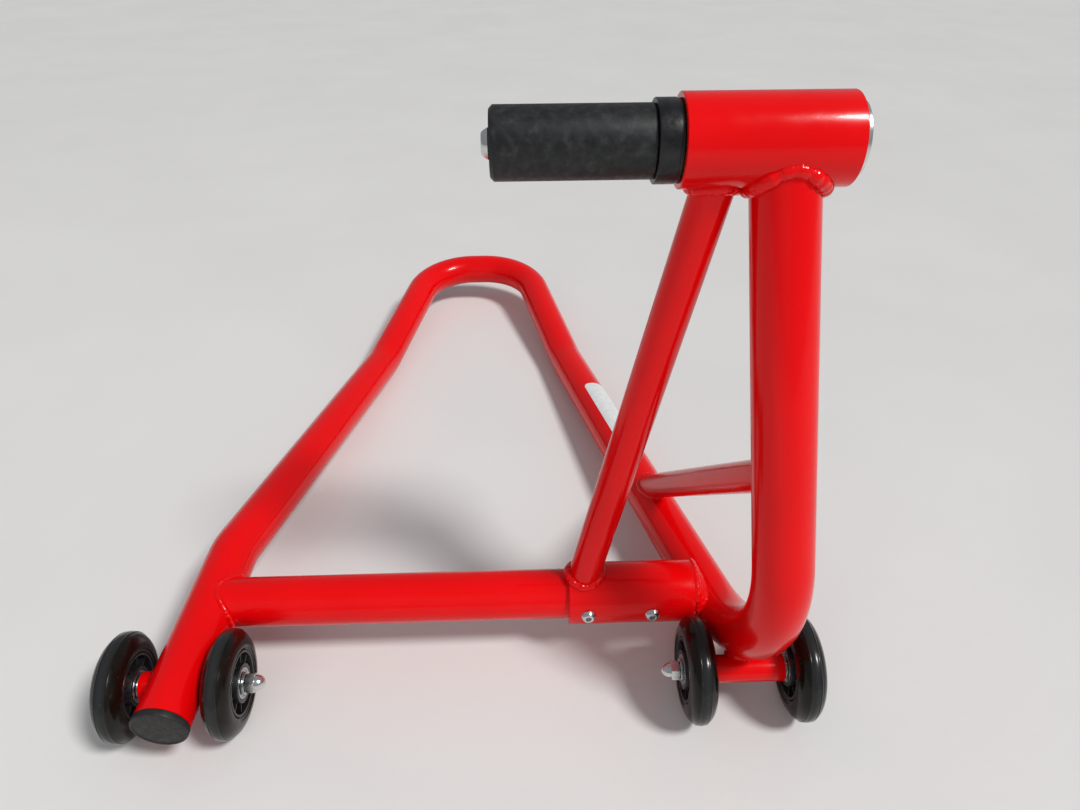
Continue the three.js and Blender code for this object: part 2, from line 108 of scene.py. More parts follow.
# %% [markdown]
# ## Finishes
# A finish is a Principled shader whose colour, roughness and bump come from noise on Object coordinates.
# Every piece sits at the origin, so the noise lies on the stand in real metres and its scale can be read
# as so many lumps to the metre. What is the same all over a surface is set on the shader's own socket.


# %% A finish from noise
def noise(tree, scale, detail=3.0, rough=0.55):
    place = tree.nodes.new("ShaderNodeTexCoord")
    node = tree.nodes.new("ShaderNodeTexNoise")
    node.inputs["Scale"].default_value = scale
    node.inputs["Detail"].default_value = detail
    node.inputs["Roughness"].default_value = rough
    tree.links.new(place.outputs["Object"], node.inputs["Vector"])
    return node


def ramp(tree, source, stops):
    node = tree.nodes.new("ShaderNodeValToRGB")
    for _ in stops[2:]:
        node.color_ramp.elements.new(0.5)
    for element, (place, colour) in zip(node.color_ramp.elements, stops):
        element.position = place
        element.color = (*colour, 1)
    tree.links.new(source, node.inputs["Fac"])
    return node.outputs["Color"]


def spread(tree, source, low, high, start=0.3, end=0.7):
    node = tree.nodes.new("ShaderNodeMapRange")
    for name, value in {"From Min": start, "From Max": end, "To Min": low, "To Max": high}.items():
        node.inputs[name].default_value = value
    tree.links.new(source, node.inputs["Value"])
    return node.outputs["Result"]


def finish(name, stops, colour_scale, roughness, rough_scale, grain, **sockets):
    """Stops give its colour, roughness is (low, high), and each grain is a (scale, height in metres)."""
    material = bpy.data.materials.new(name)
    material.use_nodes = True
    tree = material.node_tree
    shader = tree.nodes["Principled BSDF"]
    for socket, value in sockets.items():
        shader.inputs[socket.replace("_", " ")].default_value = value
    tree.links.new(ramp(tree, noise(tree, colour_scale).outputs["Fac"], stops), shader.inputs["Base Color"])
    rubbed = spread(tree, noise(tree, rough_scale).outputs["Fac"], *roughness)
    tree.links.new(rubbed, shader.inputs["Roughness"])
    normal = None
    for scale, height in grain:
        bump = tree.nodes.new("ShaderNodeBump")
        bump.inputs["Distance"].default_value = height
        tree.links.new(noise(tree, scale, 2).outputs["Fac"], bump.inputs["Height"])
        if normal:
            tree.links.new(normal, bump.inputs["Normal"])
        normal = bump.outputs["Normal"]
    tree.links.new(normal, shader.inputs["Normal"])
    return material


# %% [markdown]
# ### The stand's own finishes
# Red powder coat flows out almost flat but keeps a faint orange peel, so it has a broad soft ripple and a
# fine one under a clear coat. The pin's nylon is turned and rubbed, which mottles it. Zinc plate has a
# cloudy bloom.

# %% Paint, plastics and metals
red_paint = finish(
    "red_powder_coat",
    [(0.3, (0.68, 0.0008, 0.0015)), (0.7, (0.76, 0.0015, 0.003))],
    9, (0.16, 0.24), 60, [(35, 0.0003), (700, 0.00002)],
    Coat_Weight=0.3, Coat_Roughness=0.04, Coat_IOR=1.3, IOR=1.25,
)
weld_paint = finish(
    "red_coat_on_weld",
    [(0.3, (0.66, 0.0008, 0.0015)), (0.7, (0.75, 0.0015, 0.003))],
    40, (0.14, 0.24), 200, [(260, 0.0001), (1100, 0.00002)],
    Coat_Weight=0.4, Coat_Roughness=0.05, Coat_IOR=1.35, IOR=1.25,
)
pin_nylon = finish(
    "rubbed_black_nylon",
    [(0.34, (0.008, 0.008, 0.009)), (0.55, (0.015, 0.0155, 0.016)), (0.74, (0.030, 0.031, 0.032))],
    190, (0.38, 0.56), 420, [(2400, 0.00002), (300, 0.00004)],
    IOR=1.38,
)
collar_nylon = finish(
    "smooth_black_nylon",
    [(0.35, (0.005, 0.005, 0.006)), (0.7, (0.014, 0.014, 0.015))],
    170, (0.24, 0.42), 260, [(180, 0.00015), (1800, 0.00002)],
    IOR=1.38,
)
cap_plastic = finish(
    "moulded_cap_plastic",
    [(0.35, (0.012, 0.0115, 0.011)), (0.7, (0.021, 0.020, 0.019))],
    180, (0.42, 0.6), 350, [(2600, 0.00002)],
    IOR=1.35,
)
hub_plastic = finish(
    "moulded_hub_plastic",
    [(0.35, (0.004, 0.004, 0.0045)), (0.7, (0.010, 0.010, 0.011))],
    150, (0.25, 0.42), 300, [(2200, 0.00002)],
)
zinc_plate = finish(
    "bright_zinc_plate",
    [(0.3, (0.60, 0.61, 0.61)), (0.55, (0.68, 0.69, 0.68)), (0.75, (0.74, 0.73, 0.71))],
    160, (0.2, 0.3), 240, [(300, 0.000003)],
    Metallic=1.0,
)
ground_steel = finish(
    "ground_bearing_steel",
    [(0.3, (0.36, 0.37, 0.38)), (0.7, (0.52, 0.53, 0.54))],
    500, (0.2, 0.36), 900, [(1500, 0.000002)],
    Metallic=1.0,
)
bush_bronze = finish(
    "oiled_bronze",
    [(0.3, (0.30, 0.15, 0.045)), (0.7, (0.45, 0.26, 0.09))],
    380, (0.3, 0.5), 600, [(2000, 0.00003)],
    Metallic=1.0,
)
label_film = finish(
    "blank_film_label",
    [(0.3, (0.66, 0.68, 0.66)), (0.7, (0.78, 0.78, 0.76))],
    160, (0.3, 0.42), 300, [(500, 0.00002)],
)
print("finishes", len(bpy.data.materials))

# %% [markdown]
# ### Smoky urethane
# The tyres are cast in smoked urethane: brown-black and glossy on the sides. The tread is painted
# greyer, partly for scuffing by the floor and partly as a painted highlight where the tread faces the
# light. The mesh stores how far a point is up the tread in an attribute, and the finish mixes by it.
# Tiny bubbles and dust come from a Voronoi texture, which makes round specks that noise can't.


# %% Tyre finish
def make_tyre_finish():
    material = finish(
        "smoked_urethane",
        [(0.3, (0.0045, 0.0032, 0.0020)), (0.7, (0.0085, 0.0062, 0.0042))],
        90, (0.16, 0.28), 140, [(90, 0.0002), (1500, 0.000005)],
        Coat_Weight=0.2, Coat_Roughness=0.04, Coat_IOR=1.35, IOR=1.28,
    )
    tree = material.node_tree
    shader = tree.nodes["Principled BSDF"]
    smoke = shader.inputs["Base Color"].links[0].from_socket
    tread = tree.nodes.new("ShaderNodeAttribute")
    tread.attribute_name = "tread"
    scuff_and_highlight = tree.nodes.new("ShaderNodeMix")
    scuff_and_highlight.data_type = "RGBA"
    # The tread's grey is partly scuffing and partly a painted highlight on the tread.
    scuff_and_highlight.inputs["B"].default_value = (0.019, 0.0205, 0.021, 1)
    tree.links.new(tread.outputs["Fac"], scuff_and_highlight.inputs["Factor"])
    tree.links.new(smoke, scuff_and_highlight.inputs["A"])
    specks = tree.nodes.new("ShaderNodeTexVoronoi")
    specks.inputs["Scale"].default_value = 210
    place = tree.nodes.new("ShaderNodeTexCoord")
    tree.links.new(place.outputs["Object"], specks.inputs["Vector"])
    speckled = tree.nodes.new("ShaderNodeMix")
    speckled.data_type = "RGBA"
    speckled.inputs["B"].default_value = (0.16, 0.15, 0.13, 1)
    tree.links.new(spread(tree, specks.outputs["Distance"], 0.55, 0.0, 0.02, 0.09), speckled.inputs["Factor"])
    tree.links.new(scuff_and_highlight.outputs["Result"], speckled.inputs["A"])
    tree.links.new(speckled.outputs["Result"], shader.inputs["Base Color"])
    return material


urethane = make_tyre_finish()
print("tyre finish nodes", len(urethane.node_tree.nodes))

# %% [markdown]
# ## Camera, floor and light
# The camera comes before the pieces, so that any half-made stand can be looked at. It stands in front of
# the wheels, a little over the pin, and looks down at the floor. The floor and the light are plain, so
# that the paint and the welds are what is seen.

# %% Camera
CAMERA_AT = at(-0.2, -353.4, 520.5)
LOOKS_DOWN = math.radians(34.69)
TURNS_RIGHT = math.radians(1.71)
LEANS = math.radians(-0.29)
camera = bpy.data.objects.new("camera", bpy.data.cameras.new("camera"))
camera.data.lens = 26
camera.data.sensor_width = 36
camera.data.clip_start = 0.01
level = Euler((math.pi / 2 - LOOKS_DOWN, 0, -TURNS_RIGHT), "XYZ").to_matrix()
camera.matrix_world = Matrix.Translation(CAMERA_AT) @ (level @ Matrix.Rotation(LEANS, 3, "Z")).to_4x4()
bpy.context.collection.objects.link(camera)
bpy.context.scene.camera = camera
print("camera at", [round(v, 3) for v in CAMERA_AT])


# %% Floor and light
def make_floor(half=6.0):
    mesh = bpy.data.meshes.new("studio_floor")
    corners = [(-half, -half, 0), (half, -half, 0), (half, half, 0), (-half, half, 0)]
    mesh.from_pydata(corners, [], [(0, 1, 2, 3)])
    floor = bpy.data.objects.new("studio_floor", mesh)
    bpy.context.collection.objects.link(floor)
    mesh.materials.append(finish(
        "pale_studio_floor",
        [(0.3, (0.68, 0.67, 0.65)), (0.7, (0.71, 0.70, 0.68))],
        3, (0.5, 0.6), 8, [(60, 0.0002)],
    ))
    floor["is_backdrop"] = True


def add_light(name, kind, place, size, strength, mirrored):
    """A lamp aimed at the stand's middle. If it isn't mirrored, it lights surfaces but makes no highlight."""
    light = bpy.data.lights.new(name, kind)
    if kind == "SUN":
        light.angle = size
    else:
        light.size = size
    light.energy = strength
    lamp = bpy.data.objects.new(name, light)
    lamp.location = place
    lamp.rotation_euler = ((cad_low + cad_high) / 2 - place).to_track_quat("-Z", "Y").to_euler()
    lamp.visible_glossy = mirrored
    bpy.context.collection.objects.link(lamp)


make_floor()
add_light("key_sun", "SUN", at(1050, -350, 1900), math.radians(12), 2.6, True)
add_light("front_fill", "AREA", at(-500, -1500, 1000), 1.4, 8, False)
world = bpy.data.worlds.new("soft_room")
world.use_nodes = True
world.node_tree.nodes["Background"].inputs["Color"].default_value = (0.92, 0.94, 1, 1)
world.node_tree.nodes["Background"].inputs["Strength"].default_value = 0.3
bpy.context.scene.world = world
bpy.context.scene.view_settings.view_transform = "Standard"
print("lights", len(bpy.data.lights))

# %% [markdown]
# ## Turned pieces
# Washers, bushes, the pin's sleeve, the tyres and the hubs were all turned or moulded round an axis. A
# profile of (along, radius) points is spun round that axis. Real edges are never sharp, so a small arc
# goes in at each corner of a profile before it is spun.


# %% Spin a profile
SMOOTH_BELOW = math.radians(32)


def keep_mesh(name, bm, material):
    bmesh.ops.remove_doubles(bm, verts=bm.verts, dist=1e-7)
    bmesh.ops.recalc_face_normals(bm, faces=bm.faces)
    mesh = bpy.data.meshes.new(name)
    bm.to_mesh(mesh)
    bm.free()
    mesh.shade_smooth()
    mesh.set_sharp_from_angle(angle=SMOOTH_BELOW)
    mesh.materials.append(material)
    piece = bpy.data.objects.new(name, mesh)
    bpy.context.collection.objects.link(piece)
    return piece


def settle(piece, body, slot, *nodes):
    """The finished piece rides on its body and stands for its CAD nodes."""
    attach(piece, body)
    if nodes:
        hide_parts(*nodes)
    return piece


def arc_corner(before, corner, after, radius, steps=5):
    """The points of an arc that takes the place of a profile's corner."""
    to_before, to_after = (before - corner), (after - corner)
    half = to_before.angle(to_after) / 2
    back = min(radius / math.tan(half), 0.45 * to_before.length, 0.45 * to_after.length)
    first = corner + to_before.normalized() * back
    last = corner + to_after.normalized() * back
    points = []
    for step in range(steps + 1):
        share = step / steps
        points.append(first.lerp(corner, share).lerp(corner.lerp(last, share), share))
    return points


def rounded(profile, radius):
    corners = [Vector(point) for point in profile]
    points = []
    for index, corner in enumerate(corners):
        before, after = corners[index - 1], corners[(index + 1) % len(corners)]
        points += arc_corner(before, corner, after, radius)
    return points


def turned(name, profile, centre, axis, material, sides=96):
    """A closed ring: its profile's (along, radius) points in metres, spun round an axis through centre."""
    axis = axis.normalized()
    side = axis.orthogonal().normalized()
    other = axis.cross(side)
    bm = bmesh.new()
    rings = []
    for step in range(sides):
        angle = 2 * math.pi * step / sides
        spoke = side * math.cos(angle) + other * math.sin(angle)
        rings.append([bm.verts.new(centre + axis * along + spoke * radius) for along, radius in profile])
    for step, ring in enumerate(rings):
        beside = rings[(step + 1) % sides]
        for index in range(len(ring)):
            after = (index + 1) % len(ring)
            bm.faces.new((ring[index], ring[after], beside[after], beside[index]))
    return keep_mesh(name, bm, material)


def plain_ring(name, low, high, outer, inner, centre, edge, material, sides=96):
    profile = rounded([(low, outer), (high, outer), (high, inner), (low, inner)], edge)
    return turned(name, profile, centre, X_AXIS, material, sides)


# %% [markdown]
# ## Round bodies with a shape on top
# Bolt heads, acorn nuts and socket screws aren't plain rings: a hexagon runs into a cone or a dome. They
# are made as a stack of closed rings from pole to pole, where each ring may be a circle or a hexagon.


# %% Stack rings from pole to pole
HEX = 6
RING_STEPS = 72


def circle(radius):
    return lambda angle: radius


def hexagon(across_flats):
    half_turn = math.pi / HEX

    def radius_at(angle):
        return across_flats / 2 / math.cos((angle + half_turn) % (2 * half_turn) - half_turn)

    return radius_at


def stacked(name, base, axis, rings, material):
    """Rings are (along, radius at an angle) pairs, and along may be a function of the angle too."""
    axis = axis.normalized()
    side = axis.orthogonal().normalized()
    other = axis.cross(side)
    bm = bmesh.new()
    made = []
    for along, radius_at in rings:
        ring = []
        for step in range(RING_STEPS):
            angle = 2 * math.pi * step / RING_STEPS
            height = along(angle) if callable(along) else along
            spoke = side * math.cos(angle) + other * math.sin(angle)
            ring.append(bm.verts.new(base + axis * height + spoke * radius_at(angle)))
        made.append(ring)
    for lower, upper in zip(made, made[1:]):
        for step in range(RING_STEPS):
            after = (step + 1) % RING_STEPS
            bm.faces.new((lower[step], lower[after], upper[after], upper[step]))
    for ring, along in ((made[0], rings[0][0]), (made[-1], rings[-1][0])):
        pole = bm.verts.new(base + axis * (along(0) if callable(along) else along))
        for step in range(RING_STEPS):
            bm.faces.new((pole, ring[step], ring[(step + 1) % RING_STEPS]))
    return keep_mesh(name, bm, material)


CHAMFER_SLOPE = math.tan(math.radians(28))


def hex_top(across_flats, height):
    """The rings of a hexagon's chamfered top: its edge dips to a cone at the corners."""
    flat = 0.475 * across_flats
    shape = hexagon(across_flats)
    return [
        (lambda angle: height - max(0, shape(angle) - flat) * CHAMFER_SLOPE, shape),
        (height, circle(flat)),
    ]


# %% [markdown]
# ## Bent and straight tubes
# The frame's tubes are swept circles. A tube's centreline is given by its corners, as on a bending sheet:
# each corner has a bend radius, and the straights run between the bends. A swept mesh is used rather than
# a bevelled curve, because its rings can be spaced closely in the bends only.


# %% Sweep a tube along its corners
MAIN = [
    (at(-246, -36.5, 48), 0),
    (at(-238, 113.7, 57.4), 88),
    (at(-168, 471, 19), 150),
    (at(-121.5, 683, 43), 72),
    (at(9.5, 683, 43), 72),
    (at(56, 471, 19), 150),
    (at(170.5, -47.5, 50), 92),
    (at(140.3, 54, 402.7), 0),
]
MAIN_RADIUS = 19 * MM
TUBE_WALL = 2 * MM
BEND_STEP = math.radians(2.5)


def centreline(corners):
    points = [corners[0][0]]
    for (before, _), (corner, bend), (after, _) in zip(corners, corners[1:], corners[2:]):
        back, on = (before - corner).normalized(), (after - corner).normalized()
        half = back.angle(on) / 2
        start = corner + back * (bend * MM / math.tan(half))
        centre = corner + (back + on).normalized() * (bend * MM / math.sin(half))
        sweep = math.pi - 2 * half
        steps = math.ceil(sweep / BEND_STEP)
        for step in range(steps + 1):
            angle = sweep * step / steps
            points.append(centre + (start - centre) * math.cos(angle) - back * (bend * MM * math.sin(angle)))
    return points + [corners[-1][0]]


def swept(name, points, outer, inner, material, sides=80):
    """A closed tube wall round a centreline, turned as little as possible from ring to ring."""
    bm = bmesh.new()
    heading = (points[1] - points[0]).normalized()
    side = heading.orthogonal().normalized()
    outside, inside = [], []
    for index, point in enumerate(points):
        ahead = points[min(index + 1, len(points) - 1)] - points[max(index - 1, 0)]
        side = (side - ahead.normalized() * side.dot(ahead.normalized())).normalized()
        other = ahead.normalized().cross(side)
        spokes = [
            side * math.cos(2 * math.pi * step / sides) + other * math.sin(2 * math.pi * step / sides)
            for step in range(sides)
        ]
        outside.append([bm.verts.new(point + spoke * outer) for spoke in spokes])
        inside.append([bm.verts.new(point + spoke * inner) for spoke in spokes])
    loop = outside + inside[::-1]
    for index, ring in enumerate(loop):
        beside = loop[(index + 1) % len(loop)]
        for step in range(sides):
            after = (step + 1) % sides
            bm.faces.new((ring[step], ring[after], beside[after], beside[step]))
    return keep_mesh(name, bm, material)


main_line = centreline(MAIN)
main_tube = swept("bent_main_tube", main_line, MAIN_RADIUS, MAIN_RADIUS - TUBE_WALL, red_paint)
settle(main_tube, "frame", "red_paint", "main_tube")
print("main tube rings", len(main_line), "faces", len(main_tube.data.polygons))

# %% [markdown]
# ### Straight tubes
# The crossbar slides into a sleeve that is welded to the right leg. A slanted brace stands on the sleeve,
# and a short strut ties the upright to the leg. Each tube runs on into its neighbour, and the weld covers
# the joint.

# %% Crossbar, sleeve, brace and strut
BAR_Y, BAR_Z = 63, 53
HEAD_Y, HEAD_Z = 54, 402.7
leg_low, elbow, upright_top = MAIN[5][0], MAIN[6][0], MAIN[7][0]
STRUT_ALONG_LEG, STRUT_HEIGHT, ELBOW_HEIGHT = 0.493, 221, 50
STRUT_FOOT = elbow.lerp(leg_low, STRUT_ALONG_LEG)
STRUT_TOP = elbow.lerp(upright_top, (STRUT_HEIGHT - ELBOW_HEIGHT) / (HEAD_Z - ELBOW_HEIGHT))
BRACE_FOOT, BRACE_TOP = at(41, BAR_Y, BAR_Z), at(110.6, HEAD_Y, HEAD_Z)
BRACE_RADIUS, STRUT_RADIUS, AXLE_TUBE_RADIUS = 12 * MM, 11 * MM, 10 * MM
BAR_END_X, SLEEVE_END_X = -236, 132
bar_high = span_x("crossbar_tube")[1]
bar_middle = Vector((0, datum.y + BAR_Y * MM, BAR_Z * MM))
bar_ends = [bar_middle + X_AXIS * (datum.x + BAR_END_X * MM), bar_middle + X_AXIS * bar_high]
settle(
    swept("crossbar", bar_ends, MAIN_RADIUS, MAIN_RADIUS - TUBE_WALL, red_paint),
    "frame", "red_paint", "crossbar_tube",
)
sleeve_low = span_x("crossbar_sleeve")[0]
sleeve_high = datum.x + SLEEVE_END_X * MM
SLEEVE_RADIUS = 23.5 * MM
SLEEVE_PLAY = 0.35 * MM
settle(
    plain_ring(
        "crossbar_socket", sleeve_low, sleeve_high, SLEEVE_RADIUS, MAIN_RADIUS + SLEEVE_PLAY,
        bar_middle, 0.9 * MM, red_paint,
    ),
    "frame", "red_paint", "crossbar_sleeve",
)
for name, ends, radius, node in (
    ("slanted_brace", (BRACE_FOOT, BRACE_TOP), BRACE_RADIUS, "brace_tube"),
    ("upright_strut", (STRUT_FOOT, STRUT_TOP), STRUT_RADIUS, "support_strut"),
):
    settle(swept(name, ends, radius, radius - TUBE_WALL, red_paint, 64), "frame", "red_paint", node)
print("sleeve from", round(sleeve_low, 4), "to", round(sleeve_high, 4))

# %% Head tube and axle tubes
head_low, head_high = span_x("head_tube")
HEAD_RADIUS = 24.3 * MM
HEAD_BORE = 21 * MM
AXLE_BORE = 4.4 * MM
pin_middle = Vector((0, pin_line.y, pin_line.z))
axle_middle = Vector((0, outermost.y, axle_height))
settle(
    plain_ring(
        "pin_head_tube", head_low, head_high, HEAD_RADIUS, HEAD_BORE, pin_middle, 0.8 * MM, red_paint, 120,
    ),
    "frame", "red_paint", "head_tube",
)
for side_name in ("left", "right"):
    low, high = span_x(f"{side_name}_axle_tube")
    ring = plain_ring(
        f"{side_name}_wheel_axle_tube", low, high, AXLE_TUBE_RADIUS, AXLE_BORE,
        axle_middle, 0.6 * MM, red_paint,
    )
    settle(ring, "frame", "red_paint", f"{side_name}_axle_tube")
print("head length", round(head_high - head_low, 4))

# %% [markdown]
# ## Welds
# A weld is a row of overlapping puddles in the corner between two tubes. So each bead follows the line
# where a small ball would roll between the two surfaces. Geometry Nodes puts a slightly uneven ball at
# every puddle, melts them together as a volume, and turns that back into one closed skin, which is how
# paint lies over it.


# %% The weld tree
def link(tree, source, output, target, name):
    tree.links.new(source.outputs[output], target.inputs[name])


def tree_inputs(tree, sizes):
    tree.interface.new_socket("Geometry", in_out="INPUT", socket_type="NodeSocketGeometry")
    made = {}
    for name, value in sizes.items():
        kind = "NodeSocketInt" if isinstance(value, int) else "NodeSocketFloat"
        socket = tree.interface.new_socket(name, in_out="INPUT", socket_type=kind)
        socket.default_value = value
        made[name] = socket.identifier
    tree.interface.new_socket("Geometry", in_out="OUTPUT", socket_type="NodeSocketGeometry")
    return made


def end_tree(tree, source, output, material):
    realize = tree.nodes.new("GeometryNodeRealizeInstances")
    paint = tree.nodes.new("GeometryNodeSetMaterial")
    paint.inputs["Material"].default_value = material
    out = tree.nodes.new("NodeGroupOutput")
    link(tree, source, output, realize, "Geometry")
    link(tree, realize, "Geometry", paint, "Geometry")
    link(tree, paint, "Geometry", out, "Geometry")


def uneven(tree, inputs, size, jitter):
    """A random size about the input called size, between 1 - jitter and 1 + jitter times it."""
    low = tree.nodes.new("ShaderNodeMath")
    low.operation = "SUBTRACT"
    low.inputs[0].default_value = 1
    high = tree.nodes.new("ShaderNodeMath")
    high.operation = "ADD"
    high.inputs[0].default_value = 1
    link(tree, inputs, jitter, low, 1)
    link(tree, inputs, jitter, high, 1)
    chance = tree.nodes.new("FunctionNodeRandomValue")
    tree.links.new(low.outputs[0], chance.inputs[2])
    tree.links.new(high.outputs[0], chance.inputs[3])
    link(tree, inputs, "Seed", chance, "Seed")
    scaled = tree.nodes.new("ShaderNodeMath")
    scaled.operation = "MULTIPLY"
    link(tree, inputs, size, scaled, 0)
    tree.links.new(chance.outputs[1], scaled.inputs[1])
    return scaled


def make_weld_tree():
    tree = bpy.data.node_groups.new("weld_bead", "GeometryNodeTree")
    ids = tree_inputs(tree, {"Bead": 0.003, "Pitch": 0.002, "Unevenness": 0.13, "Melt": 0.0005, "Seed": 3})
    inputs = tree.nodes.new("NodeGroupInput")
    to_curve = tree.nodes.new("GeometryNodeMeshToCurve")
    to_points = tree.nodes.new("GeometryNodeCurveToPoints")
    to_points.mode = "LENGTH"
    to_volume = tree.nodes.new("GeometryNodePointsToVolume")
    to_volume.resolution_mode = "VOXEL_SIZE"
    to_mesh = tree.nodes.new("GeometryNodeVolumeToMesh")
    to_mesh.resolution_mode = "VOXEL_SIZE"
    to_mesh.inputs["Threshold"].default_value = 0.1
    smooth = tree.nodes.new("GeometryNodeSetShadeSmooth")
    link(tree, inputs, "Geometry", to_curve, "Mesh")
    link(tree, to_curve, "Curve", to_points, "Curve")
    link(tree, inputs, "Pitch", to_points, "Length")
    link(tree, to_points, "Points", to_volume, "Points")
    link(tree, uneven(tree, inputs, "Bead", "Unevenness"), 0, to_volume, "Radius")
    link(tree, to_volume, "Volume", to_mesh, "Volume")
    for node in (to_volume, to_mesh):
        link(tree, inputs, "Melt", node, "Voxel Size")
    link(tree, to_mesh, "Mesh", smooth, "Geometry")
    end_tree(tree, smooth, "Geometry", weld_paint)
    return tree, ids


weld_tree, weld_ids = make_weld_tree()


def run_tree(name, mesh, tree, ids, values):
    """Runs a tree on a mesh and returns its result as a plain mesh piece."""
    seedling = bpy.data.objects.new(name + "_start", mesh)
    bpy.context.collection.objects.link(seedling)
    modifier = seedling.modifiers.new("grow", "NODES")
    modifier.node_group = tree
    for key, value in values.items():
        modifier[ids[key]] = value
    seedling.update_tag()
    bpy.context.view_layer.update()
    grown = bpy.data.meshes.new_from_object(seedling.evaluated_get(bpy.context.evaluated_depsgraph_get()))
    grown.name = name
    bpy.data.objects.remove(seedling)
    piece = bpy.data.objects.new(name, grown)
    bpy.context.collection.objects.link(piece)
    return piece


def grow(name, points, edges, tree, ids, values):
    """Runs a tree on a path of points and edges."""
    mesh = bpy.data.meshes.new(name)
    mesh.from_pydata(points, edges, [])
    return run_tree(name, mesh, tree, ids, values)


# %% [markdown]
# ### Where a bead runs
# The ball's centre is a set distance outside both tubes. For each direction round the branch tube, the
# path goes out along it until it leaves the host tube. Where the two skins run almost level, a weld is
# flush, so the ball sinks there.


# %% Roll a ball round a joint
SINK = 0.15
LEVEL_SINK = 0.95
PATH_STEPS = 90
REACH_STEP = 0.2 * MM


def from_line(point, line):
    near, _ = intersect_point_line(point, *line)
    return near, (point - near).length


def joint_path(inside, outward, branch_radius, line, host_radius, bead, least=0.0):
    outward = outward.normalized()
    side = outward.orthogonal().normalized()
    other = outward.cross(side)
    points = []
    for step in range(PATH_STEPS):
        angle = 2 * math.pi * step / PATH_STEPS
        spoke = side * math.cos(angle) + other * math.sin(angle)
        lift = SINK * bead
        for _ in range(2):
            start = inside + spoke * (branch_radius + lift)
            reach = least
            while from_line(start + outward * reach, line)[1] < host_radius + lift:
                reach += REACH_STEP
            point = start + outward * reach
            near, distance = from_line(point, line)
            level = max(0, spoke.dot((point - near).normalized()))
            lift = bead * (SINK - LEVEL_SINK * level**3)
        points.append(near + (point - near) * ((host_radius + lift) / distance))
    return points


def add_bead(name, paths, bead, seed, closed=True):
    """A bead of the given radius along one or more paths, melted into one skin."""
    points, edges = [], []
    for path in paths:
        first = len(points)
        points += path
        edges += [(first + i, first + i + 1) for i in range(len(path) - 1)]
        if closed:
            edges.append((len(points) - 1, first))
    values = {"Bead": bead, "Pitch": 0.55 * bead, "Seed": seed}
    piece = grow(name, points, edges, weld_tree, weld_ids, values)
    settle(piece, "frame", "red_paint")
    print(name, "faces", len(piece.data.polygons))


head_line = (at(0, HEAD_Y, HEAD_Z), at(100, HEAD_Y, HEAD_Z))
bar_line = (at(0, BAR_Y, BAR_Z), at(100, BAR_Y, BAR_Z))
right_leg = (elbow, leg_low)
left_foot = (MAIN[0][0], MAIN[1][0])
upright = (elbow, upright_top)
sleeve_in_leg = Vector((from_line(at(146, BAR_Y, BAR_Z), right_leg)[0].x, bar_middle.y, bar_middle.z))
bar_in_leg = Vector((from_line(at(-241, BAR_Y, BAR_Z), left_foot)[0].x, bar_middle.y, bar_middle.z))
JOINTS = [
    ("weld_upright_head", upright_top, elbow - upright_top, MAIN_RADIUS, head_line, HEAD_RADIUS, 4.4),
    ("weld_brace_head", BRACE_TOP, BRACE_FOOT - BRACE_TOP, BRACE_RADIUS, head_line, HEAD_RADIUS, 3.4),
    ("weld_brace_sleeve", BRACE_FOOT, BRACE_TOP - BRACE_FOOT, BRACE_RADIUS, bar_line, SLEEVE_RADIUS, 3.2),
    ("weld_strut_leg", STRUT_FOOT, STRUT_TOP - STRUT_FOOT, STRUT_RADIUS, right_leg, MAIN_RADIUS, 2.4),
    ("weld_strut_upright", STRUT_TOP, STRUT_FOOT - STRUT_TOP, STRUT_RADIUS, upright, MAIN_RADIUS, 2.4),
    ("weld_crossbar_leg", bar_in_leg, X_AXIS, MAIN_RADIUS, left_foot, MAIN_RADIUS, 2.6),
]
for seed, (name, inside, outward, branch, line, host, bead) in enumerate(JOINTS):
    add_bead(name, [joint_path(inside, outward, branch, line, host, bead * MM)], bead * MM, seed)

# %% [markdown]
# ### The sleeve's end
# The sleeve is wider than the leg it ends at, so its weld is a skirt: rings of weld run from the sleeve's
# rim down to the leg and close the sleeve's end.

# %% Skirt between sleeve and leg
SKIRT_BEAD = 3 * MM
SKIRT_RINGS = 4
RIM_BACK, RIM_IN = 0.6 * SKIRT_BEAD, 0.8 * SKIRT_BEAD
on_leg = joint_path(
    sleeve_in_leg, -X_AXIS, SLEEVE_RADIUS - SKIRT_BEAD, right_leg, MAIN_RADIUS, SKIRT_BEAD,
    sleeve_in_leg.x - sleeve_high - SINK * SKIRT_BEAD,
)
on_rim = []
for point in on_leg:
    spoke = Vector((0, point.y - bar_middle.y, point.z - bar_middle.z)).normalized()
    rim_x = min(point.x, sleeve_high - RIM_BACK)
    on_rim.append(Vector((rim_x, bar_middle.y, bar_middle.z)) + spoke * (SLEEVE_RADIUS - RIM_IN))
skirt = []
for ring in range(SKIRT_RINGS):
    share = ring / (SKIRT_RINGS - 1)
    skirt.append([low.lerp(high, share) for low, high in zip(on_leg, on_rim)])
add_bead("weld_sleeve_leg", skirt, SKIRT_BEAD, len(JOINTS))

# %% [markdown]
# ### Beads along the axle tubes
# The left axle tube passes through the lower half of the capped end, and the right one lies under the
# elbow. At each place along an axle tube, the ball starts below it and is turned up round it, once over
# the front and once over the back, until it meets the main tube. The points where it stops are the two
# beads.


# %% Roll a ball along a crotch
def crotch_path(node, reach_from, facing, bead):
    lift = SINK * bead
    low, high = span_x(node)
    points = []
    for x_step in range(PATH_STEPS):
        x = low + (high - low) * x_step / (PATH_STEPS - 1)
        for turn in range(-89, 180):
            angle = math.radians(turn)
            spoke = Vector((0, facing * math.cos(angle), math.sin(angle)))
            point = Vector((x, axle_middle.y, axle_middle.z)) + spoke * (AXLE_TUBE_RADIUS + lift)
            if reach_from(point) < MAIN_RADIUS + lift:
                points.append(point)
                break
    return points


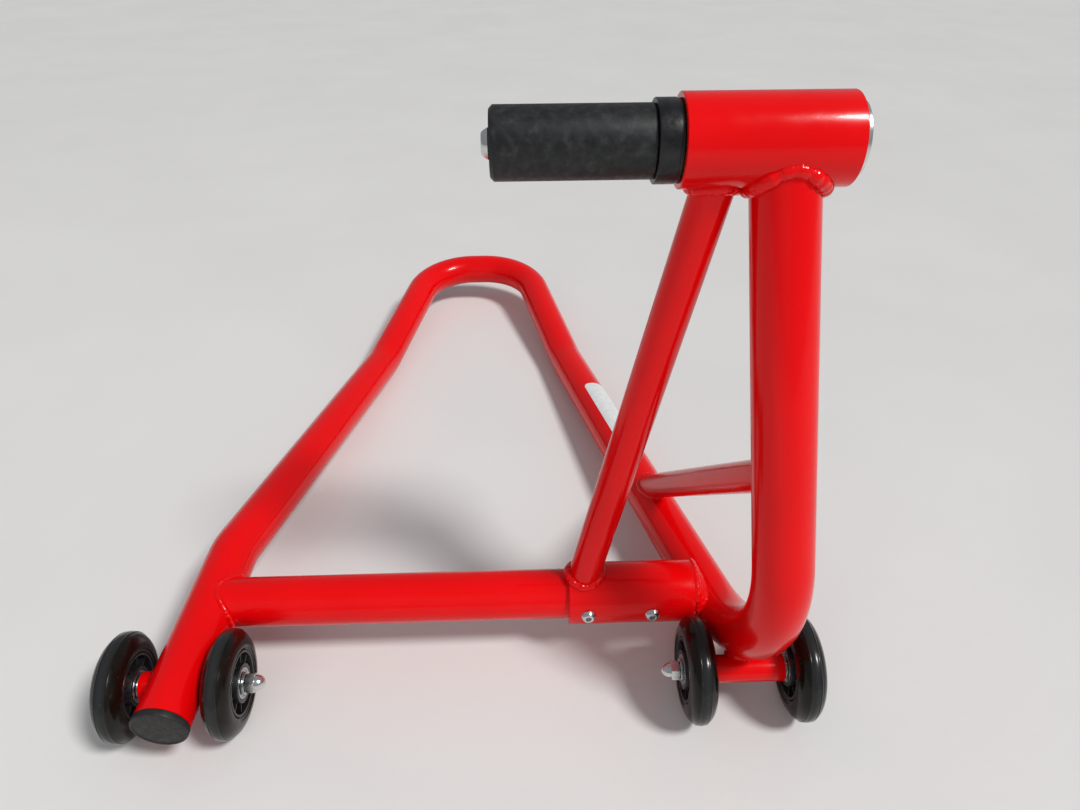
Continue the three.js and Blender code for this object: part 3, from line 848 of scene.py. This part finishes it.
ELBOW_REACH = 130 * MM
FIRST_SEED = 20
elbow_line = [point for point in main_line if (point - elbow).length < ELBOW_REACH]
REACHES = {
    "left": lambda point: from_line(point, left_foot)[1],
    "right": lambda point: min((point - on_line).length for on_line in elbow_line),
}
AXLE_BEAD = 3.4 * MM
for side_name, reach_from in REACHES.items():
    for place, facing in (("front", -1), ("back", 1)):
        path = crotch_path(f"{side_name}_axle_tube", reach_from, facing, AXLE_BEAD)
        print(side_name, place, "bead points", len(path))
        add_bead(f"weld_{side_name}_axle_{place}", [path], AXLE_BEAD, FIRST_SEED + facing, closed=False)

# %% [markdown]
# ### Spatter
# Some drops of weld metal land beside a joint and are painted over. A second tree puts a small ball of
# random size on each given point.


# %% Spatter beside the sleeve's weld
def make_spatter_tree():
    tree = bpy.data.node_groups.new("weld_spatter", "GeometryNodeTree")
    ids = tree_inputs(tree, {"Drop": 0.0008, "Unevenness": 0.5, "Seed": 5})
    inputs = tree.nodes.new("NodeGroupInput")
    drop = tree.nodes.new("GeometryNodeMeshIcoSphere")
    drop.inputs["Radius"].default_value = 1
    drop.inputs["Subdivisions"].default_value = 2
    place = tree.nodes.new("GeometryNodeInstanceOnPoints")
    smooth = tree.nodes.new("GeometryNodeSetShadeSmooth")
    link(tree, drop, "Mesh", smooth, "Geometry")
    link(tree, inputs, "Geometry", place, "Points")
    link(tree, smooth, "Geometry", place, "Instance")
    link(tree, uneven(tree, inputs, "Drop", "Unevenness"), 0, place, "Scale")
    end_tree(tree, place, "Instances", weld_paint)
    return tree, ids


spatter_tree, spatter_ids = make_spatter_tree()
DROPS = 26
DROP_SIZE = 0.45 * MM
dice = random.Random(11)
drops = []
for _ in range(DROPS):
    reach = Vector((-dice.uniform(3, 22), 0, 0)) * MM
    angle = math.radians(dice.uniform(-30, 80))
    spoke = Vector((0, -math.cos(angle), math.sin(angle))) * SLEEVE_RADIUS
    drops.append(bar_middle + X_AXIS * sleeve_high + reach + spoke)
spatter = grow("weld_spatter_drops", drops, [], spatter_tree, spatter_ids, {"Drop": DROP_SIZE})
settle(spatter, "frame", "red_paint")
print("drops", len(drops))

# %% [markdown]
# ## Wheels
# Each wheel is a cast tyre on a ribbed plastic hub with a bearing in each face. The tyre's side bulges to
# its shoulder and rounds over to the tread, with two fine mould lines. The four wheels are alike, so one
# loop makes them all, each at its own joint.

# %% Tyre profile
TYRE_HALF = tyre_size.x / 2
TYRE_RADIUS = tyre_size.y / 2
HUB_RADIUS = size_of("left_outer_hub").y / 2
TREAD_ROUND = 12 * MM
MOULD_LINE_AT = 3.4 * MM
MOULD_LINE_WIDTH = 0.4 * MM
MOULD_LINE_HEIGHT = 0.4 * MM
TYRE_STEPS = 110
TREAD_FROM, TREAD_FADE = 0.955, 0.035


def tyre_profile():
    shoulder = TYRE_RADIUS - TREAD_ROUND
    points = []
    for step in range(TYRE_STEPS + 1):
        angle = math.pi * step / TYRE_STEPS
        along = -TYRE_HALF * math.cos(angle) * (1 - 0.04 * math.sin(angle) ** 2)
        line = math.exp(-(((abs(along) - MOULD_LINE_AT) / MOULD_LINE_WIDTH) ** 2))
        points.append((along, shoulder + TREAD_ROUND * math.sin(angle) - MOULD_LINE_HEIGHT * (1 - line)))
    rim = HUB_RADIUS + 0.3 * MM
    inset = 0.8 * MM
    side = [
        (TYRE_HALF - inset, shoulder - 1.6 * MM),
        (TYRE_HALF - inset, rim + 0.9 * MM),
        (TYRE_HALF - 2 * inset, rim),
    ]
    return points + side + [(-along, radius) for along, radius in reversed(side)]


# The tread attribute marks where the greyer colour goes: part scuffing, part painted highlight.
def store_tread(piece, centre):
    attribute = piece.data.attributes.new("tread", "FLOAT", "POINT")
    for vertex, value in zip(piece.data.vertices, attribute.data):
        radius = math.hypot(vertex.co.y - centre.y, vertex.co.z - centre.z)
        value.value = min(1, max(0, (radius / TYRE_RADIUS - TREAD_FROM) / TREAD_FADE))


# %% [markdown]
# ### Hub ribs
# Ribs stiffen the hub's web on both faces. One rib is made once, and a tree sets copies of it round the
# axle.


# %% Rib tree and one rib
RIBS = 10
RIB_FROM = 12.5 * MM
RIB_THICKNESS = 1.6 * MM


def make_rib_tree():
    tree = bpy.data.node_groups.new("hub_ribs", "GeometryNodeTree")
    ids = tree_inputs(tree, {"Ribs": RIBS})
    inputs = tree.nodes.new("NodeGroupInput")
    line = tree.nodes.new("GeometryNodeMeshLine")
    line.inputs["Offset"].default_value = (0, 0, 0)
    index = tree.nodes.new("GeometryNodeInputIndex")
    share = tree.nodes.new("ShaderNodeMath")
    share.operation = "DIVIDE"
    turn = tree.nodes.new("ShaderNodeMath")
    turn.operation = "MULTIPLY"
    turn.inputs[1].default_value = 2 * math.pi
    spin = tree.nodes.new("ShaderNodeCombineXYZ")
    place = tree.nodes.new("GeometryNodeInstanceOnPoints")
    link(tree, inputs, "Ribs", line, "Count")
    link(tree, index, "Index", share, 0)
    link(tree, inputs, "Ribs", share, 1)
    link(tree, share, 0, turn, 0)
    link(tree, turn, 0, spin, "X")
    link(tree, line, "Mesh", place, "Points")
    link(tree, inputs, "Geometry", place, "Instance")
    link(tree, spin, "Vector", place, "Rotation")
    end_tree(tree, place, "Instances", hub_plastic)
    return tree, ids


rib_tree, rib_ids = make_rib_tree()


def make_rib_block(reach):
    """One rib from the boss to the rim, across the hub's web, with its long edges bevelled."""
    bm = bmesh.new()
    bmesh.ops.create_cube(bm, size=1)
    low, high = RIB_FROM, HUB_RADIUS - 1 * MM
    bmesh.ops.scale(bm, vec=Vector((2 * reach, RIB_THICKNESS, high - low)), verts=bm.verts)
    bmesh.ops.translate(bm, vec=Vector((0, 0, (low + high) / 2)), verts=bm.verts)
    bmesh.ops.bevel(bm, geom=bm.edges, offset=0.4 * MM, segments=2, affect="EDGES", clamp_overlap=True)
    return bm


def add_ribs(name, centre, body):
    mesh = bpy.data.meshes.new(name)
    bm = make_rib_block(TYRE_HALF - 2.2 * MM)
    bm.to_mesh(mesh)
    bm.free()
    piece = run_tree(name, mesh, rib_tree, rib_ids, {"Ribs": RIBS})
    piece.data.transform(Matrix.Translation(centre))
    settle(piece, body, "hub_plastic")


# %% Hub, bearings and washers
BEARING_RADIUS = 11 * MM
BEARING_WIDTH = 7 * MM


def add_hub(wheel, centre, body):
    half = TYRE_HALF
    seat = BEARING_RADIUS + 0.3 * MM
    right = [
        (half - 0.9 * MM, HUB_RADIUS),
        (half - 0.9 * MM, HUB_RADIUS - 1.8 * MM),
        (1.6 * MM, HUB_RADIUS - 3.2 * MM),
        (1.6 * MM, seat + 3.6 * MM),
        (half, seat + 2.4 * MM),
        (half, seat),
        (half - BEARING_WIDTH - 0.3 * MM, seat),
        (half - BEARING_WIDTH - 0.3 * MM, seat - 1.5 * MM),
    ]
    left = [(-along, radius) for along, radius in reversed(right)]
    hub = turned(f"{wheel}_wheel_hub", rounded(right + left, 0.4 * MM), centre, X_AXIS, hub_plastic, 80)
    settle(hub, body, "hub_plastic", f"{wheel}_hub")


def add_bearing(wheel, side_name, centre, body):
    low, high = span_x(f"{wheel}_bearing_{side_name}")
    half = (high - low) / 2
    dip = 0.5 * MM
    face = [(half, 11.0), (half, 9.4), (half - dip, 9.1), (half - dip, 6.4), (half, 6.1), (half, 4.3)]
    right = [(along, radius * MM) for along, radius in face]
    left = [(-along, radius) for along, radius in reversed(right)]
    middle = Vector(((low + high) / 2, centre.y, centre.z))
    profile = rounded(right + left, 0.2 * MM)
    bearing = turned(f"{wheel}_ball_bearing_{side_name}", profile, middle, X_AXIS, ground_steel, 72)
    settle(bearing, body, "bearing_steel", f"{wheel}_bearing_{side_name}")


def add_washer(node, body="frame", outer=8 * MM, inner=4.3 * MM):
    low, high = span_x(node)
    middle = axle_middle if body == "frame" else pin_middle
    ring = plain_ring(f"{node}_plain", low, high, outer, inner, middle, 0.35 * MM, zinc_plate, 64)
    settle(ring, body, "zinc_plate", node)


for wheel in WHEELS:
    body = f"{wheel}_wheel"
    centre = JOINT_AT[f"{wheel}_wheel_spin"]
    tyre = turned(f"{wheel}_cast_tyre", tyre_profile(), centre, X_AXIS, urethane, 112)
    store_tread(tyre, centre)
    settle(tyre, body, "wheel_urethane", f"{wheel}_tyre")
    add_hub(wheel, centre, body)
    add_ribs(f"{wheel}_hub_ribs", centre, body)
    for side_name in ("left", "right"):
        add_bearing(wheel, side_name, centre, body)
        add_washer(f"{wheel}_washer_{side_name}")
print("wheels made", len(WHEELS), "tyre faces", len(tyre.data.polygons))

# %% [markdown]
# ## Axle bolts and acorn nuts
# A long bolt goes through both wheels of a pair and their axle tube. Its hexagon head is outside, and a
# closed acorn nut covers its thread inside.

# %% Bolts and nuts
AXLE_HEX = 13 * MM
HEX_HEIGHT = 6.5 * MM
DOME_RADIUS = 6 * MM
DOME_STEPS = 14
BOLT_HEAD_HEIGHT = 5.3 * MM
BOLT_CHAMFER = 0.8 * MM
BOLT_RADIUS = 4 * MM


def add_axle_bolt(side_name, outward):
    low, high = span_x(f"{side_name}_axle_bolt")
    head_end, tip = (high, low) if outward > 0 else (low, high)
    length = abs(head_end - tip)
    seat = length - BOLT_HEAD_HEIGHT
    base = Vector((tip, axle_middle.y, axle_middle.z))
    shape = hexagon(AXLE_HEX)
    top = hex_top(AXLE_HEX, BOLT_HEAD_HEIGHT)
    rings = [
        (0, circle(BOLT_RADIUS - BOLT_CHAMFER)), (BOLT_CHAMFER, circle(BOLT_RADIUS)),
        (seat, circle(BOLT_RADIUS)), (seat, shape), (seat + 2 * MM, shape),
        (lambda angle: seat + top[0][0](angle), shape), (length, top[1][1]),
    ]
    bolt = stacked(f"{side_name}_hex_axle_bolt", base, X_AXIS * outward, rings, zinc_plate)
    settle(bolt, "frame", "zinc_plate", f"{side_name}_axle_bolt")


def add_acorn_nut(side_name, outward):
    low, high = span_x(f"{side_name}_acorn_nut")
    seat, end = (high, low) if outward > 0 else (low, high)
    base = Vector((seat, axle_middle.y, axle_middle.z))
    shape = hexagon(AXLE_HEX)
    height = abs(end - seat) - HEX_HEIGHT
    top = hex_top(AXLE_HEX, HEX_HEIGHT)
    rings = [(0, circle(0.47 * AXLE_HEX)), (0.5 * MM, shape)] + top
    for step in range(DOME_STEPS):
        angle = 0.5 * math.pi * step / DOME_STEPS
        rings.append((HEX_HEIGHT + height * math.sin(angle), circle(DOME_RADIUS * 0.94 * math.cos(angle))))
    rings.append((HEX_HEIGHT + height, circle(0.15 * MM)))
    nut = stacked(f"{side_name}_domed_nut", base, X_AXIS * -outward, rings, zinc_plate)
    settle(nut, "frame", "zinc_plate", f"{side_name}_acorn_nut")


for side_name, outward in (("left", -1), ("right", 1)):
    add_axle_bolt(side_name, outward)
    add_acorn_nut(side_name, outward)
print("axle hexagon", AXLE_HEX)

# %% [markdown]
# ## Button-head screws
# The crossbar's two screws and the pin's two end screws are low domes with a hexagon socket. The socket
# is a stack of rings too: down its hexagon wall to a cone-shaped floor.


# %% Socket screws
def add_button_screw(name, seat, facing, head, height, socket, body, node, shank=4 * MM):
    flat = 0.62 * head
    rings = [(-shank, circle(0.26 * head)), (0, circle(0.26 * head)), (0, circle(0.49 * head))]
    rings.append((0.12 * height, circle(0.5 * head)))
    for step in range(1, 9):
        share = step / 8
        radius = 0.5 * head + (0.5 * flat - 0.5 * head) * share
        rings.append((height * (0.12 + 0.88 * math.sin(0.5 * math.pi * share)), circle(radius)))
    shape = hexagon(socket)
    rings += [(height, lambda angle: shape(angle) + 0.25 * MM), (height - 0.25 * MM, shape)]
    rings += [(0.3 * height, shape), (0.15 * height, circle(0.1 * MM))]
    screw = stacked(name, seat, facing, rings, zinc_plate)
    settle(screw, body, "zinc_plate", node)


SLEEVE_SCREW = (11.2 * MM, 3.4 * MM, 4 * MM)  # head, height, socket
for number in (1, 2):
    low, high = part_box(f"sleeve_screw_{number}")
    seat = Vector(((low.x + high.x) / 2, bar_middle.y - SLEEVE_RADIUS + 0.2 * MM, bar_middle.z))
    add_button_screw(
        f"socket_screw_{number}", seat, Vector((0, -1, 0)), *SLEEVE_SCREW,
        "frame", f"sleeve_screw_{number}",
    )
tip_low = span_x("pin_tip_screw")[0]
end_high = span_x("pin_end_screw")[1]
PIN_SCREW = (16 * MM, 4 * MM, 5 * MM)  # head, height, socket
for name, seat_x, facing, node in (
    ("pin_tip_button_screw", tip_low + PIN_SCREW[1], -1, "pin_tip_screw"),
    ("pin_end_button_screw", end_high - PIN_SCREW[1], 1, "pin_end_screw"),
):
    seat = Vector((seat_x, pin_middle.y, pin_middle.z))
    add_button_screw(name, seat, X_AXIS * facing, *PIN_SCREW, "pin", node)
print("screw heads", SLEEVE_SCREW[0], PIN_SCREW[0])

# %% [markdown]
# ## Pin
# The sleeve and the collar are turned nylon on a steel shaft. The sleeve's free end has a chamfer, so
# that the hollow axle finds it, and the collar's edges are only broken.

# %% Pin sleeve, collar and end washer
PIN_RADIUS = size_of("pin_sleeve").y / 2
COLLAR_RADIUS = size_of("pin_collar").y / 2
PIN_BORE = 10.3 * MM
low, high = span_x("pin_sleeve")
CHAMFER = 2 * MM
sleeve_profile = rounded(
    [
        (low, PIN_RADIUS - CHAMFER), (low + CHAMFER, PIN_RADIUS), (high, PIN_RADIUS),
        (high, PIN_BORE), (low, PIN_BORE),
    ],
    0.7 * MM,
)
settle(
    turned("pin_turned_sleeve", sleeve_profile, pin_middle, X_AXIS, pin_nylon, 128),
    "pin", "pin_sleeve_plastic", "pin_sleeve",
)
low, high = span_x("pin_collar")
GROOVE = 1.1 * MM
collar_profile = rounded(
    [
        (low, COLLAR_RADIUS), (high - 2 * GROOVE, COLLAR_RADIUS),
        (high - 2 * GROOVE, COLLAR_RADIUS - 0.5 * GROOVE), (high, COLLAR_RADIUS - 0.5 * GROOVE),
        (high, PIN_BORE), (low, PIN_BORE),
    ],
    0.6 * MM,
)
settle(
    turned("pin_turned_collar", collar_profile, pin_middle, X_AXIS, collar_nylon, 128),
    "pin", "pin_collar_plastic", "pin_collar",
)
add_washer("pin_end_washer", "pin", 20 * MM, 4.3 * MM)
print("pin sleeve diameter", round(2 * PIN_RADIUS, 4))

# %% [markdown]
# ## End cap and label
# The cap has a rounded flange and a slightly domed face with a shallow step inside its rim. The label is
# a thin film bent round the leg, with round corners: each strip across it is cut back by a circle's
# height at its ends.

# %% Cap
CAP_RADIUS = 19.3 * MM
FLANGE = 5 * MM
foot_end, behind = MAIN[0][0], MAIN[1][0]
cap_axis = (foot_end - behind).normalized()
cap_rings = [
    (-15 * MM, circle(14 * MM)), (-15 * MM, circle(16.2 * MM)), (0.3 * MM, circle(16.4 * MM)),
    (0.3 * MM, circle(CAP_RADIUS - 0.3 * MM)), (0.6 * MM, circle(CAP_RADIUS)),
    (FLANGE - 0.9 * MM, circle(CAP_RADIUS)), (FLANGE - 0.35 * MM, circle(CAP_RADIUS - 0.25 * MM)),
    (FLANGE, circle(CAP_RADIUS - 0.9 * MM)), (FLANGE, circle(CAP_RADIUS - 1.9 * MM)),
    (FLANGE - 0.4 * MM, circle(CAP_RADIUS - 2.3 * MM)),
]
for share in (0.85, 0.6, 0.35, 0.1):
    cap_rings.append((FLANGE - 0.4 * MM + 0.5 * MM * (1 - share**2), circle(share * (CAP_RADIUS - 2.3 * MM))))
settle(
    stacked("main_tube_cap", foot_end, cap_axis, cap_rings, cap_plastic),
    "frame", "cap_plastic", "tube_end_cap",
)
print("cap diameter", round(2 * CAP_RADIUS, 4))

# %% Label
LABEL_LENGTH, LABEL_SPREAD, LABEL_TURN = 116 * MM, 1.65, 1.12
LABEL_ALONG_LEG = 0.186
LABEL_CORNER = 5 * MM


def make_label(rows=28, columns=40):
    along = (elbow - leg_low).normalized()
    side = (X_AXIS - along * along.x).normalized()
    up = along.cross(side)
    start = leg_low.lerp(elbow, LABEL_ALONG_LEG)
    bm = bmesh.new()
    skins = []
    for radius in (MAIN_RADIUS + 0.1 * MM, MAIN_RADIUS + 0.35 * MM):
        grid = []
        for row in range(rows + 1):
            angle = LABEL_SPREAD * (row / rows - 0.5)
            from_edge = (LABEL_SPREAD / 2 - abs(angle)) * radius
            short = max(0, LABEL_CORNER - from_edge)
            cut = LABEL_CORNER - math.sqrt(max(0, LABEL_CORNER**2 - short**2))
            turn = angle + LABEL_TURN
            spoke = (side * math.cos(turn) + up * math.sin(turn)) * radius
            reach = [cut + (LABEL_LENGTH - 2 * cut) * column / columns for column in range(columns + 1)]
            grid.append([bm.verts.new(start + along * step + spoke) for step in reach])
        skins.append(grid)
    for grid in skins:
        for row in range(rows):
            for column in range(columns):
                a, b = grid[row], grid[row + 1]
                bm.faces.new((a[column], a[column + 1], b[column + 1], b[column]))
    rims = []
    for grid in skins:
        right = [line[-1] for line in grid]
        left = [line[0] for line in reversed(grid)]
        rims.append(grid[0][:-1] + right[:-1] + grid[-1][:0:-1] + left[:-1])
    for index in range(len(rims[0])):
        after = (index + 1) % len(rims[0])
        bm.faces.new((rims[0][index], rims[0][after], rims[1][after], rims[1][index]))
    return keep_mesh("film_label", bm, label_film)


label = settle(make_label(), "frame", "label", "blank_label")
print("label faces", len(label.data.polygons))

# %% [markdown]
# ## What stays as it is
# The shaft, the bushes, the spacers and the nuts inside the crossbar are hidden or almost hidden, and
# their CAD shapes are right. They only take a finish.

# %% Finishes for the carried-over pieces
CARRIED = {
    "pin_shaft": ground_steel,
    "left_head_bush": bush_bronze,
    "right_head_bush": bush_bronze,
    "sleeve_nut_1": zinc_plate,
    "sleeve_nut_2": zinc_plate,
}
CARRIED.update({f"{wheel}_spacer": ground_steel for wheel in WHEELS})
for node, material in CARRIED.items():
    piece = frame["nodes"][node]
    piece.data.materials.clear()
    piece.data.materials.append(material)
print("carried over", len(CARRIED))

# %% Sizes and finish
low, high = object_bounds()
print("visual box", [round(v, 4) for v in (*low, *high)])
